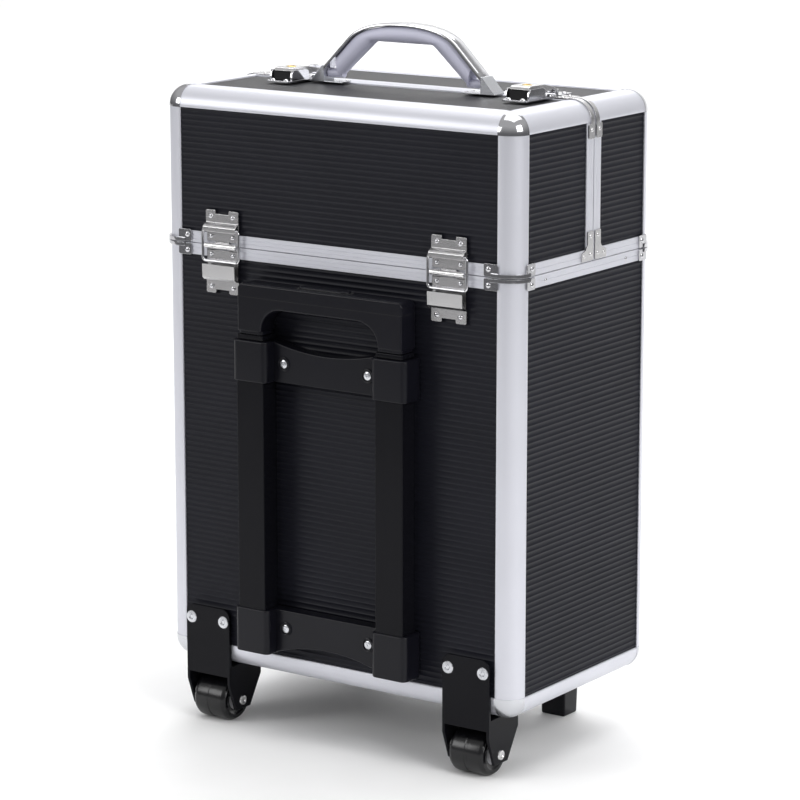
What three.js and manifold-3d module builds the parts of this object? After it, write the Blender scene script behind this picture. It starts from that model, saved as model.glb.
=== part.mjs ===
// A rolling makeup train case: a tall aluminium-framed case whose top splits into a rear and a front lid,
// with a telescopic trolley on its rear face. Millimetres, +Z up, the trolley faces -Y.
import * as THREE from "three";
import { mergeVertices } from "three/addons/utils/BufferGeometryUtils.js";
import Module from "manifold-3d";

const wasm = await Module();
wasm.setup();

// Driving dimensions. Heights are measured from the floor, depths from the middle of the case.
const WIDTH = 340;
const DEPTH = 200;
const BOX_BOTTOM = 50;
const LID_LINE = 399;
const BOX_TOP = 524;
const TOP_SEAM = 8.5;
const CORNER_RADIUS = 16;
const WALL = 5;
const GAP = 0.3;

// Aluminium trims
const POST_REAR = 18.4;
const POST_SIDE = 15.1;
const BOTTOM_RAIL = 18;
const RIM = 9.6;
const TOP_RAIL = 16.7;
const TOP_RAIL_FLAT = 21;
const SEAM_TRIM = 10.4;
const SEAM_HALF_GAP = 0.5;
const PANEL = 4;
const PANEL_RECESS = 1.2;

// Hinges and their wire stays
const HINGE_X = 109;
const PIN_Y = 103.8;
const STAY_BAR_Y = 103.7;
const STAY_TOP_Z = LID_LINE + 13.5;
const STAY_LENGTH = 26;
const STAY_HALF = 18;
const STAY_WIRE = 1.2;
const LEAF_HALF = 16.2;

// Trolley
const TUBE_X = 67;
const TUBE_Y = -113;
const COLLAR_HALF = 16.5;
const COLLAR_FRONT = -123.5;
const UPPER_BRACKET = [297, 330];
const LOWER_BRACKET = [74, 110.7];
const GRIP_BOTTOM = 337;
const GRIP_TOP = 375.5;

// Wheels and feet
const WHEEL_X = 127;
const AXLE_Y = -86;
const WHEEL_RADIUS = 18;
const WHEEL_HALF = 16;
const FOOT_X = 96.5;
const FOOT_Y = 83.5;

// Carrying handle and latches
const HANDLE_Y = -5.5;
const HANDLE_PIVOT_Z = 531.5;
const HANDLE_X = 2.7;
const HANDLE_TOP = 575.5;
const HANDLE_LEG = { reach: 76, z: 537.5, bend: 52, end: 75.2 };
const LATCH_X = { left: -100, right: 126 };
const LATCH_PIVOT = [-29, 530.5];

// Trays
const ARM_LENGTH = 80;
const TRAY_PIVOT_Z = 455;
const TRAY_HALF_WIDTH = 146;
const TRAYS = {
  rear: { centre: -35, armFoot: -68, half: 39 },
  front: { centre: 45, armFoot: 68, half: 30 },
};

const X = new THREE.Vector3(1, 0, 0);
const Y = new THREE.Vector3(0, 1, 0);
const Z = new THREE.Vector3(0, 0, 1);
const SIDES = { left: -1, right: 1 };
const FACES = { rear: -1, front: 1 };

function toSolid(geometry) {
  geometry.deleteAttribute("normal");
  geometry.deleteAttribute("uv");
  const merged = mergeVertices(geometry, 1e-4);
  return new wasm.Manifold(new wasm.Mesh({
    numProp: 3,
    vertProperties: new Float32Array(merged.attributes.position.array),
    triVerts: new Uint32Array(merged.index.array),
  }));
}

// A block between two limits on each axis.
function block([x0, x1], [y0, y1], [z0, z1]) {
  const [left, right] = [Math.min(x0, x1), Math.max(x0, x1)];
  const [near, far] = [Math.min(y0, y1), Math.max(y0, y1)];
  const geometry = new THREE.BoxGeometry(right - left, far - near, z1 - z0);
  geometry.translate((left + right) / 2, (near + far) / 2, (z0 + z1) / 2);
  return toSolid(geometry);
}

// A shape drawn in the plane across one axis (Y-Z, X-Z or X-Y) and extruded along that axis.
function prism(axis, shape, [a, b], arcSteps = 3) {
  const from = Math.min(a, b);
  const to = Math.max(a, b);
  const geometry = new THREE.ExtrudeGeometry(shape, {
    depth: to - from,
    bevelEnabled: false,
    curveSegments: arcSteps,
  });
  const frame = new THREE.Matrix4();
  if (axis === "x") frame.makeBasis(Y, Z, X).setPosition(from, 0, 0);
  if (axis === "y") frame.makeBasis(X, Z, Y.clone().negate()).setPosition(0, to, 0);
  if (axis === "z") frame.setPosition(0, 0, from);
  geometry.applyMatrix4(frame);
  return toSolid(geometry);
}

const outline = (points) => new THREE.Shape(points.map(([u, v]) => new THREE.Vector2(u, v)));

// A rod along X.
function rod(radius, [x0, x1], y, z, sides = 16) {
  const geometry = new THREE.CylinderGeometry(radius, radius, Math.abs(x1 - x0), sides);
  geometry.rotateZ(Math.PI / 2);
  geometry.translate((x0 + x1) / 2, y, z);
  return toSolid(geometry);
}

// A rectangle with its low corners, its high corners or all four rounded.
function roundedShape([u0, u1], [v0, v1], radius, low, high) {
  const shape = new THREE.Shape();
  const r = radius;
  shape.moveTo(u0 + (low ? r : 0), v0);
  if (low) shape.absarc(u1 - r, v0 + r, r, -Math.PI / 2, 0);
  else shape.lineTo(u1, v0);
  if (high) {
    shape.absarc(u1 - r, v1 - r, r, 0, Math.PI / 2);
    shape.absarc(u0 + r, v1 - r, r, Math.PI / 2, Math.PI);
  } else {
    shape.lineTo(u1, v1);
    shape.lineTo(u0, v1);
  }
  if (low) shape.absarc(u0 + r, v0 + r, r, Math.PI, 1.5 * Math.PI);
  else shape.lineTo(u0, v0);
  return shape;
}

// A box with rounded upright edges, and with its bottom or top edges rounded too.
function roundedBlock(inset, [z0, z1], low, high) {
  const x = [-WIDTH / 2 + inset, WIDTH / 2 - inset];
  const y = [-DEPTH / 2 + inset, DEPTH / 2 - inset];
  const radius = CORNER_RADIUS - inset * 0.8;
  const upright = prism("z", roundedShape(x, y, radius, true, true), [z0, z1]);
  const across = prism("x", roundedShape(y, [z0, z1], radius, low, high), x);
  const along = prism("y", roundedShape(x, [z0, z1], radius, low, high), y);
  return upright.intersect(across).intersect(along);
}

// A disc along X or Y, standing out from `from` by `height` on the side that `sign` gives.
function rivet(axis, sign, radius, from, height, across, z) {
  const circle = new THREE.Shape();
  circle.absarc(across, z, radius, 0, 2 * Math.PI);
  return prism(axis, circle, [sign * from, sign * (from + height)], 6);
}

const group = new THREE.Group();

function add(name, solid, material) {
  const mesh = solid.getMesh();
  const geometry = new THREE.BufferGeometry();
  geometry.setAttribute("position", new THREE.BufferAttribute(new Float32Array(mesh.vertProperties), 3));
  geometry.setIndex(new THREE.BufferAttribute(new Uint32Array(mesh.triVerts), 1));
  const flat = geometry.toNonIndexed();
  flat.computeVertexNormals();
  const part = new THREE.Mesh(flat, new THREE.MeshStandardMaterial(material));
  part.name = name;
  group.add(part);
}

const ALUMINIUM = { color: 0xc3c5d2, roughness: 0.38, metalness: 0.7 };
const PANEL_BLACK = { color: 0x2b2b2e, roughness: 0.55, metalness: 0.1 };
const CHROME = { color: 0xbfc0c4, roughness: 0.15, metalness: 1.0 };
const PLASTIC_BLACK = { color: 0x232327, roughness: 0.5, metalness: 0.0 };
const PAINTED_STEEL = { color: 0x17181b, roughness: 0.4, metalness: 0.6 };
const WHEEL_BLACK = { color: 0x101011, roughness: 0.3, metalness: 0.0 };
const GRIP_GREY = { color: 0xb9b9cc, roughness: 0.45, metalness: 0.0 };
const TRAY_GREY = { color: 0x3a3a3e, roughness: 0.7, metalness: 0.0 };

const halfWidth = WIDTH / 2;
const halfDepth = DEPTH / 2;
const bodyTop = LID_LINE - GAP / 2;
const lidBottom = LID_LINE + GAP / 2;

// Case body: one frame of posts, bottom rails and rim, with a panel in each opening.
const postWindowX = halfWidth - POST_REAR;
const postWindowY = halfDepth - POST_SIDE;
const bodyWindowZ = [BOX_BOTTOM + BOTTOM_RAIL, LID_LINE - RIM];
const floorWindow = BOTTOM_RAIL + 2;

function shrink([a, b], by) {
  return a < b ? [a + by, b - by] : [a - by, b + by];
}

// The opening through the wall at distance `reach` from the middle, and the panel that fills it.
function wallOpening(sign, reach) {
  return [sign * (reach - WALL - 2), sign * (reach + 1)];
}

function panelDepth(sign, reach) {
  return [sign * (reach - PANEL_RECESS - PANEL), sign * (reach - PANEL_RECESS)];
}

// Clamps round the upright edges beside the lid line: a narrow strap with a riveted plate at each end.
const CLAMP = {
  thick: 1.2,
  plateX: [140.5, 153.5],
  plateY: [76.5, 88],
  strapHeight: 3,
  rivetX: 144.6,
  rivetY: 81,
  rivetRadius: 2.3,
  rivetHeight: 1.2,
};

function cornerClamps(faces, edge, upward) {
  const strap = [edge, edge + upward * CLAMP.strapHeight].sort((a, b) => a - b);
  const plate = [edge, LID_LINE + upward * RIM].sort((a, b) => a - b);
  const rivetZ = LID_LINE + upward * (RIM / 2 + 0.8);
  const x = [-halfWidth - CLAMP.thick, halfWidth + CLAMP.thick];
  const y = [-halfDepth - CLAMP.thick, halfDepth + CLAMP.thick];
  const section = roundedShape(x, y, CORNER_RADIUS + CLAMP.thick, true, true);
  const solids = [];
  for (const sy of faces) {
    for (const sx of [-1, 1]) {
      const outX = sx * x[1];
      const outY = sy * y[1];
      const corner = block([sx * CLAMP.plateX[0], outX], [sy * CLAMP.plateY[0], outY], strap);
      const plateAcross = block(CLAMP.plateX.map((v) => sx * v), [sy * (halfDepth - 1), outY], plate);
      const plateAlong = block([sx * (halfWidth - 1), outX], CLAMP.plateY.map((v) => sy * v), plate);
      const clamp = corner.add(plateAcross).add(plateAlong).intersect(prism("z", section, plate));
      solids.push(clamp);
      const face = [CLAMP.rivetRadius, halfDepth + CLAMP.thick - 0.1, CLAMP.rivetHeight + 0.1];
      const side = [CLAMP.rivetRadius, halfWidth + CLAMP.thick - 0.1, CLAMP.rivetHeight + 0.1];
      solids.push(rivet("y", sy, ...face, sx * CLAMP.rivetX, rivetZ));
      solids.push(rivet("x", sx, ...side, sy * CLAMP.rivetY, rivetZ));
    }
  }
  return solids.reduce((all, solid) => all.add(solid));
}

function makeBody() {
  let frame = roundedBlock(0, [BOX_BOTTOM, bodyTop], true, false).add(cornerClamps([-1, 1], bodyTop, -1));
  frame = frame.subtract(roundedBlock(WALL, [BOX_BOTTOM + WALL, bodyTop + 1], true, false));
  for (const [face, sign] of Object.entries(FACES)) {
    const x = [-postWindowX, postWindowX];
    frame = frame.subtract(block(x, wallOpening(sign, halfDepth), bodyWindowZ));
    add(`body_panel_${face}`, block(shrink(x, GAP), panelDepth(sign, halfDepth), shrink(bodyWindowZ, GAP)),
      PANEL_BLACK);
  }
  for (const [side, sign] of Object.entries(SIDES)) {
    const y = [-postWindowY, postWindowY];
    frame = frame.subtract(block(wallOpening(sign, halfWidth), y, bodyWindowZ));
    const panel = block(panelDepth(sign, halfWidth), shrink(y, GAP), shrink(bodyWindowZ, GAP));
    add(`body_panel_${side}`, panel.add(armStuds(sign)), PANEL_BLACK);
  }
  const floorX = [-halfWidth + floorWindow, halfWidth - floorWindow];
  const floorY = [-halfDepth + floorWindow, halfDepth - floorWindow];
  frame = frame.subtract(block(floorX, floorY, [BOX_BOTTOM - 1, BOX_BOTTOM + WALL + 1]));
  add("body_panel_bottom", block(shrink(floorX, GAP), shrink(floorY, GAP), [BOX_BOTTOM + 0.5, BOX_BOTTOM + 4.5]),
    PANEL_BLACK);
  add("body_frame", frame, ALUMINIUM);
}

function armFootZ(tray) {
  return TRAY_PIVOT_Z - Math.sqrt(ARM_LENGTH ** 2 - (tray.centre - tray.armFoot) ** 2);
}

// The studs inside a side panel that the tray arms turn on.
const ARM_X = [149.5, 151.5];
const STUD_PIN = 2;
const BORE_PLAY = 0.3;

function armStuds(sign) {
  const inside = halfWidth - PANEL_RECESS - PANEL + 0.5;
  const studs = Object.values(TRAYS).map((tray) => {
    const z = armFootZ(tray);
    const boss = rod(4, [sign * (ARM_X[1] + 0.5), sign * inside], tray.armFoot, z, 12);
    return boss.add(rod(STUD_PIN, [sign * (ARM_X[0] - 1.5), sign * (ARM_X[1] + 1)], tray.armFoot, z, 12));
  });
  return studs[0].add(studs[1]);
}

// Lids: the top of the case cut along the seam, each half with four panels.
function makeLid(face) {
  const sign = FACES[face];
  const seam = TOP_SEAM + sign * SEAM_HALF_GAP;
  const outer = sign * (halfDepth + 10);
  const trim = TOP_SEAM + sign * SEAM_TRIM;
  let frame = roundedBlock(0, [lidBottom, BOX_TOP], false, true).add(cornerClamps([sign], lidBottom, 1));
  frame = frame.subtract(roundedBlock(WALL, [lidBottom - 1, BOX_TOP - WALL], false, true));
  frame = frame.intersect(block([-halfWidth - 10, halfWidth + 10], [seam, outer], [lidBottom - 1, BOX_TOP + 1]));
  const x = [-postWindowX, postWindowX];
  const z = [LID_LINE + RIM, BOX_TOP - TOP_RAIL];
  frame = frame.subtract(block(x, wallOpening(sign, halfDepth), z));
  add(`${face}_lid_panel_back`, block(shrink(x, GAP), panelDepth(sign, halfDepth), shrink(z, GAP)), PANEL_BLACK);
  const y = [trim, sign * postWindowY];
  for (const [side, across] of Object.entries(SIDES)) {
    frame = frame.subtract(block(wallOpening(across, halfWidth), y, z));
    const panel = block(panelDepth(across, halfWidth), shrink(y, GAP), shrink(z, GAP));
    add(`${face}_lid_panel_${side}`, panel, PANEL_BLACK);
  }
  const topX = [-halfWidth + TOP_RAIL_FLAT, halfWidth - TOP_RAIL_FLAT];
  const topY = [trim, sign * (halfDepth - TOP_RAIL_FLAT)];
  frame = frame.subtract(block(topX, topY, [BOX_TOP - WALL - 2, BOX_TOP + 1]));
  const topZ = [BOX_TOP - PANEL_RECESS - PANEL, BOX_TOP - PANEL_RECESS];
  add(`${face}_lid_panel_top`, block(shrink(topX, GAP), shrink(topY, GAP), topZ), PANEL_BLACK);
  add(`${face}_lid_frame`, frame, ALUMINIUM);
}

// Hinges are drawn on the rear face, where outward is -Y, and mirrored for the front.
const LEAF_BACK = -halfDepth - GAP;
const LEAF_FACE = LEAF_BACK - 1.5;
const KNUCKLE = 2.8;
const KNUCKLE_SPLIT = 7;
const KNUCKLE_END = 15.5;

function hingeBodyLeaf() {
  const foot = LID_LINE - 38.6;
  const plate = block([-LEAF_HALF, LEAF_HALF], [LEAF_FACE, LEAF_BACK], [foot, LID_LINE - 3.6]);
  const pocket = prism("x", outline([
    [LEAF_FACE + 0.2, LID_LINE - 27.5],
    [-106.8, LID_LINE - 26.4],
    [-109.6, LID_LINE - 15],
    [-108.3, LID_LINE - 14.7],
    [-105.9, LID_LINE - 24.1],
    [LEAF_FACE + 0.2, LID_LINE - 24.1],
  ]), [-LEAF_HALF, LEAF_HALF]);
  let leaf = plate.add(pocket);
  for (const sign of [-1, 1]) {
    const x = [sign * (KNUCKLE_SPLIT + GAP), sign * KNUCKLE_END];
    leaf = leaf.add(rod(KNUCKLE, x, -PIN_Y, LID_LINE));
    leaf = leaf.add(block(x, [LEAF_FACE, LEAF_BACK], [LID_LINE - 4, LID_LINE]));
  }
  leaf = leaf.add(rod(1.5, [-KNUCKLE_SPLIT - 1, KNUCKLE_SPLIT + 1], -PIN_Y, LID_LINE));
  return leaf.subtract(block([-5, 5], [LEAF_FACE - 1, LEAF_BACK + 1], [foot - 1, foot + 3]));
}

function hingeLidLeaf() {
  const top = LID_LINE + 28.5;
  const plate = block([-LEAF_HALF, LEAF_HALF], [LEAF_FACE, LEAF_BACK], [LID_LINE + 3.6, top]);
  const hump = prism("x", outline([
    [LEAF_FACE + 0.2, STAY_TOP_Z - 3.4],
    [-106.9, STAY_TOP_Z - 2.6],
    [-106.9, STAY_TOP_Z + 2.4],
    [LEAF_FACE + 0.2, STAY_TOP_Z + 4.4],
  ]), [-LEAF_HALF, LEAF_HALF]);
  const channel = block([-LEAF_HALF - 1, LEAF_HALF + 1], [-105.6, LEAF_FACE], [STAY_TOP_Z - 1.8, STAY_TOP_Z + 1.8]);
  const tab = block([-KNUCKLE_SPLIT, KNUCKLE_SPLIT], [LEAF_FACE, LEAF_BACK], [LID_LINE, LID_LINE + 4]);
  return plate.add(hump.subtract(channel))
    .add(tab)
    .add(rod(KNUCKLE, [-KNUCKLE_SPLIT, KNUCKLE_SPLIT], -PIN_Y, LID_LINE))
    .subtract(rod(1.5 + BORE_PLAY, [-KNUCKLE_SPLIT - 1, KNUCKLE_SPLIT + 1], -PIN_Y, LID_LINE))
    .subtract(block([-5, 5], [LEAF_FACE - 1, LEAF_BACK + 1], [top - 3, top + 1]));
}

// A closed wire loop: two bars across, two wires down.
function stayLoop() {
  const bottom = STAY_TOP_Z - STAY_LENGTH;
  const reach = STAY_HALF + STAY_WIRE;
  let loop = rod(STAY_WIRE, [-reach, reach], -STAY_BAR_Y, STAY_TOP_Z, 8);
  loop = loop.add(rod(STAY_WIRE, [-reach, reach], -STAY_BAR_Y, bottom, 8));
  for (const sign of [-1, 1]) {
    const wire = new THREE.CylinderGeometry(STAY_WIRE, STAY_WIRE, STAY_LENGTH, 8);
    wire.rotateX(Math.PI / 2);
    wire.translate(sign * STAY_HALF, -STAY_BAR_Y, STAY_TOP_Z - STAY_LENGTH / 2);
    loop = loop.add(toSolid(wire));
  }
  return loop;
}

function makeHinges() {
  const leaves = { body_leaf: hingeBodyLeaf(), lid_leaf: hingeLidLeaf(), stay: stayLoop() };
  for (const [face, facing] of Object.entries(FACES)) {
    for (const [side, sign] of Object.entries(SIDES)) {
      for (const [piece, solid] of Object.entries(leaves)) {
        const turned = facing > 0 ? solid.mirror([0, 1, 0]) : solid;
        add(`${face}_hinge_${piece}_${side}`, turned.translate([sign * HINGE_X, 0, 0]), CHROME);
      }
    }
  }
}

// Trolley: two brackets on the rear face hold the outer tubes; two more stages slide inside them.
function tube(halfX, halfY, wall, [z0, z1]) {
  const outer = block([-halfX, halfX], [TUBE_Y - halfY, TUBE_Y + halfY], [z0, z1]);
  const bore = block(
    [-halfX + wall, halfX - wall],
    [TUBE_Y - halfY + wall, TUBE_Y + halfY - wall],
    [z0 - 1, z1 + 1],
  );
  return outer.subtract(bore);
}

const OUTER = { halfX: 13, halfY: 9, z: [80, 329.4] };
const MIDDLE = { halfX: 11.3, halfY: 7.3, z: [84, 334.6] };
const INNER = { halfX: 9.6, halfY: 5.6, z: [88, 351.5] };
const TUBE_WALL = 1.2;

const CROSSBAR_FRONT = -112;

function trolleyBracket([z0, z1], boreZ, waist) {
  const face = -halfDepth - 2 * GAP;
  let bracket = prism("y", waist, [CROSSBAR_FRONT, face], 4);
  for (const sign of [-1, 1]) {
    const x = [sign * TUBE_X - COLLAR_HALF, sign * TUBE_X + COLLAR_HALF];
    bracket = bracket.add(block(x, [COLLAR_FRONT, face], [z0, z1]));
    bracket = bracket.subtract(block(
      [sign * TUBE_X - OUTER.halfX - GAP, sign * TUBE_X + OUTER.halfX + GAP],
      [TUBE_Y - OUTER.halfY - GAP, TUBE_Y + OUTER.halfY + GAP],
      boreZ,
    ));
  }
  return bracket;
}

// The bar between the collars: its top edge sags, and its bottom edge may arch.
function waistShape([z0, z1], sag, arch) {
  const reach = TUBE_X - COLLAR_HALF + 1;
  const shape = new THREE.Shape();
  shape.moveTo(-reach, z0);
  shape.quadraticCurveTo(0, z0 + 2 * arch, reach, z0);
  shape.lineTo(reach, z1);
  shape.quadraticCurveTo(0, z1 - 2 * sag, -reach, z1);
  return shape;
}

function makeTrolley() {
  const [upperLow, upperHigh] = UPPER_BRACKET;
  const [lowerLow, lowerHigh] = LOWER_BRACKET;
  const upper = trolleyBracket(UPPER_BRACKET, [upperLow - 1, upperHigh + 1], waistShape(UPPER_BRACKET, 7, 0));
  const lower = trolleyBracket(LOWER_BRACKET, [lowerLow + 4, lowerHigh + 1], waistShape(LOWER_BRACKET, 0, 9));
  add("trolley_bracket_upper", upper, PLASTIC_BLACK);
  add("trolley_bracket_lower", lower, PLASTIC_BLACK);
  const ring = { reachX: 12.6, reachY: 8.6, wall: 2.5, z: [330.4, MIDDLE.z[1]] };
  const hole = { x: ring.reachX - ring.wall, y: ring.reachY - ring.wall };
  const middleRing = block([-ring.reachX, ring.reachX], [TUBE_Y - ring.reachY, TUBE_Y + ring.reachY], ring.z)
    .subtract(block([-hole.x, hole.x], [TUBE_Y - hole.y, TUBE_Y + hole.y], [ring.z[0] - 1, ring.z[1] + 1]));
  for (const [side, sign] of Object.entries(SIDES)) {
    const at = [sign * TUBE_X, 0, 0];
    add(`trolley_outer_tube_${side}`, tube(OUTER.halfX, OUTER.halfY, TUBE_WALL, OUTER.z).translate(at),
      PAINTED_STEEL);
    const middle = tube(MIDDLE.halfX, MIDDLE.halfY, TUBE_WALL, MIDDLE.z).add(middleRing);
    add(`trolley_middle_tube_${side}`, middle.translate(at), PAINTED_STEEL);
    add(`trolley_inner_tube_${side}`, tube(INNER.halfX, INNER.halfY, TUBE_WALL, INNER.z).translate(at),
      PAINTED_STEEL);
  }
}

const GRIP_Y = [-122, -102.8];
const BUTTON = { half: 24, y: [-117.4, -106.6], z: [370.3, 377.2] };

function obround(half, [y0, y1], z, margin) {
  const radius = (y1 - y0) / 2 + margin;
  const middle = (y0 + y1) / 2;
  const reach = half + margin - radius;
  const shape = new THREE.Shape();
  shape.absarc(reach, middle, radius, -Math.PI / 2, Math.PI / 2);
  shape.absarc(-reach, middle, radius, Math.PI / 2, 1.5 * Math.PI);
  return prism("z", shape, z, 4);
}

function makeGrip() {
  const half = 79;
  const archHalf = 56.5;
  const archTop = 356.7;
  const cornerRadius = 5;
  const archRadius = 19;
  const body = roundedShape([-half, half], [GRIP_BOTTOM, GRIP_TOP], cornerRadius, false, true);
  const arch = roundedShape([-archHalf, archHalf], [GRIP_BOTTOM - 1, archTop], archRadius, false, true);
  let grip = prism("y", body, GRIP_Y);
  grip = grip.subtract(prism("y", arch, [GRIP_Y[0] - 1, GRIP_Y[1] + 1]));
  for (const sign of [-1, 1]) {
    const x = sign * TUBE_X;
    grip = grip.add(block([x - 11.5, x + 11.5], [TUBE_Y - 8, TUBE_Y + 8], [335.1, GRIP_BOTTOM]));
    grip = grip.subtract(block(
      [x - INNER.halfX - GAP, x + INNER.halfX + GAP],
      [TUBE_Y - INNER.halfY - GAP, TUBE_Y + INNER.halfY + GAP],
      [335, INNER.z[1] + GAP],
    ));
  }
  grip = grip.subtract(obround(BUTTON.half, BUTTON.y, [366, GRIP_TOP + 1], 0.6));
  add("trolley_grip", grip, PLASTIC_BLACK);
  add("trolley_grip_button", obround(BUTTON.half, BUTTON.y, BUTTON.z, 0), PLASTIC_BLACK);
}

// Wheel brackets: a rear plate, a sole under the case, two cheeks and the axle between them.
function wheelBracket() {
  const plateY = [-103.4, -halfDepth - GAP - 0.1];
  const sole = BOX_BOTTOM - 0.4;
  const half = 22;
  const cheek = outline([
    [plateY[0], sole],
    [-61, sole],
    [-61, 36],
    [-76, WHEEL_RADIUS - 7],
    [-95, WHEEL_RADIUS - 7],
    [plateY[0], 34],
  ]);
  let bracket = prism("y", roundedShape([-half, half], [sole - 9, 98], 7, false, true), plateY);
  bracket = bracket.add(block([-half, half], [plateY[0], -61], [sole - 2.4, sole]));
  for (const sign of [-1, 1]) {
    bracket = bracket.add(prism("x", cheek, [sign * (half - 2.5), sign * half]));
  }
  return bracket.add(rod(3, [-half, half], AXLE_Y, WHEEL_RADIUS));
}

function wheel() {
  const bore = 3 + BORE_PLAY;
  const profile = [
    [bore, -WHEEL_HALF],
    [12, -WHEEL_HALF],
    [16.4, -WHEEL_HALF + 1],
    [WHEEL_RADIUS, -WHEEL_HALF + 4],
    [WHEEL_RADIUS, WHEEL_HALF - 4],
    [16.4, WHEEL_HALF - 1],
    [12, WHEEL_HALF],
    [bore, WHEEL_HALF],
    [bore, -WHEEL_HALF],
  ].map(([r, h]) => new THREE.Vector2(r, h));
  const geometry = new THREE.LatheGeometry(profile, 24);
  geometry.rotateZ(Math.PI / 2);
  geometry.translate(0, AXLE_Y, WHEEL_RADIUS);
  return toSolid(geometry);
}

function foot() {
  const top = BOX_BOTTOM - GAP;
  const taper = (half) => outline([[-half + 1.2, 0], [half - 1.2, 0], [half, top], [-half, top]]);
  return prism("y", taper(12.5), [-12, 12]).intersect(prism("x", taper(11), [-13, 13]));
}

function makeUndercarriage() {
  for (const [side, sign] of Object.entries(SIDES)) {
    const at = [sign * WHEEL_X, 0, 0];
    add(`wheel_bracket_${side}`, wheelBracket().translate(at), PAINTED_STEEL);
    add(`wheel_${side}`, wheel().translate(at), WHEEL_BLACK);
    add(`front_foot_${side}`, foot().translate([sign * FOOT_X, FOOT_Y, 0]), PLASTIC_BLACK);
  }
}

// The handle's arch from its right end to its left: two legs at 45 degrees that bend into a flat top.
function archPoints(inset, end, steps) {
  const leg = HANDLE_LEG.reach + HANDLE_LEG.z - inset * Math.SQRT2;
  const top = HANDLE_TOP - inset;
  const bend = HANDLE_LEG.bend - inset * Math.SQRT1_2;
  const half = [[end, leg - end]];
  for (let i = 0; i <= steps; i += 1) {
    const t = i / steps;
    const start = (1 - t) ** 2;
    half.push([start * bend + 2 * t * (1 - t) * (leg - top), start * (leg - bend) + (1 - start) * top]);
  }
  const mirrored = half.slice(0, -1).reverse().map(([x, z]) => [-x, z]);
  return [...half, ...mirrored];
}

// Carrying handle: a chrome strip over a grey grip, turning on a pin in each of two wedge-shaped mounts.
function handleMount(sign) {
  const base = BOX_TOP + GAP;
  const inner = 75.5;
  const flare = outline([
    [sign * inner, base],
    [sign * 89, base],
    [sign * 88.4, base + 1.2],
    [sign * 77.4, 537.8],
    [sign * inner, 537.8],
  ]);
  const y = [HANDLE_Y - 7.5, HANDLE_Y + 7.5];
  return prism("y", flare, y)
    .add(block([sign * 58, sign * (inner + 1)], y, [base, base + 1]))
    .add(rod(2, [sign * 67, sign * (inner + 1)], HANDLE_Y, HANDLE_PIVOT_Z, 12));
}

function makeHandle() {
  const thickness = 2.5;
  const steps = 12;
  const strip = outline([
    ...archPoints(0, HANDLE_LEG.end, steps),
    ...archPoints(thickness, HANDLE_LEG.end, steps).reverse(),
  ]);
  const gripEnd = 65.5;
  const gripLow = 529.5;
  const grip = outline([
    [61.5, gripLow],
    [gripEnd, gripLow],
    ...archPoints(thickness + GAP, gripEnd, steps),
    [-gripEnd, gripLow],
    [-61.5, gripLow],
    [-28, 559.5],
    [28, 559.5],
  ]);
  let insert = prism("y", grip, [HANDLE_Y - 5.6, HANDLE_Y + 5.6]);
  for (const [side, sign] of Object.entries(SIDES)) {
    insert = insert.add(rod(3.4, [sign * 61, sign * (HANDLE_LEG.end - 0.8)], HANDLE_Y, HANDLE_PIVOT_Z));
    insert = insert.subtract(rod(2 + BORE_PLAY, [sign * 66, sign * 77], HANDLE_Y, HANDLE_PIVOT_Z, 12));
    add(`carry_handle_mount_${side}`, handleMount(sign).translate([HANDLE_X, 0, 0]), CHROME);
  }
  add("carry_handle_strip", prism("y", strip, [HANDLE_Y - 7, HANDLE_Y + 7]).translate([HANDLE_X, 0, 0]), CHROME);
  add("carry_handle_grip", insert.translate([HANDLE_X, 0, 0]), GRIP_GREY);
}

// Latches: a base with cheeks on the rear lid, a lever over the seam, a keeper on the front lid.
function makeLatches() {
  const [pivotY, pivotZ] = LATCH_PIVOT;
  const low = BOX_TOP + GAP;
  const plateTop = low + 1.7;
  let base = block([-11.5, 11.5], [-35, 7], [low, plateTop]);
  for (const sign of [-1, 1]) {
    base = base.add(block([sign * 9.3, sign * 11.5], [-33, -12], [low, 534]));
  }
  base = base.add(rod(1.6, [-11, 11], pivotY, pivotZ, 12));
  const leverProfile = outline([
    [-31.3, 527.5],
    [-32.5, 533],
    [-29.5, 536],
    [8, 536],
    [13.4, 533],
    [13.4, 527.4],
    [10.6, 527.4],
    [10.6, 530.2],
    [-20, 530.2],
    [-24, 527.5],
  ]);
  const lever = prism("x", leverProfile, [-8.8, 8.8]).subtract(rod(1.9, [-10, 10], pivotY, pivotZ, 12));
  const keeper = block([-11.5, 11.5], [12, 31], [low, plateTop])
    .add(block([-8.8, 8.8], [14.6, 17], [low, 529.6]));
  for (const [side, x] of Object.entries(LATCH_X)) {
    add(`latch_base_${side}`, base.translate([x, 0, 0]), CHROME);
    add(`latch_lever_${side}`, lever.translate([x, 0, 0]), CHROME);
    add(`latch_keeper_${side}`, keeper.translate([x, 0, 0]), CHROME);
  }
}

// Trays: an open box hung between two arms, one tray in each lid half.
function trayArm(tray, sign) {
  const footZ = armFootZ(tray);
  const lean = Math.atan2(tray.centre - tray.armFoot, TRAY_PIVOT_Z - footZ);
  const bar = new THREE.Shape();
  bar.absarc(0, ARM_LENGTH, 4.5, 0, Math.PI);
  bar.absarc(0, 0, 4.5, Math.PI, 2 * Math.PI);
  const x = ARM_X.map((value) => sign * value);
  const arm = prism("x", bar, x, 4)
    .subtract(rod(STUD_PIN + BORE_PLAY, [x[0] - 3, x[1] + 3], 0, 0, 12))
    .add(rod(STUD_PIN, [sign * (TRAY_HALF_WIDTH - 2.5), sign * (ARM_X[0] + 1)], 0, ARM_LENGTH, 12));
  return arm.rotate([-THREE.MathUtils.radToDeg(lean), 0, 0]).translate([0, tray.armFoot, footZ]);
}

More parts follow.
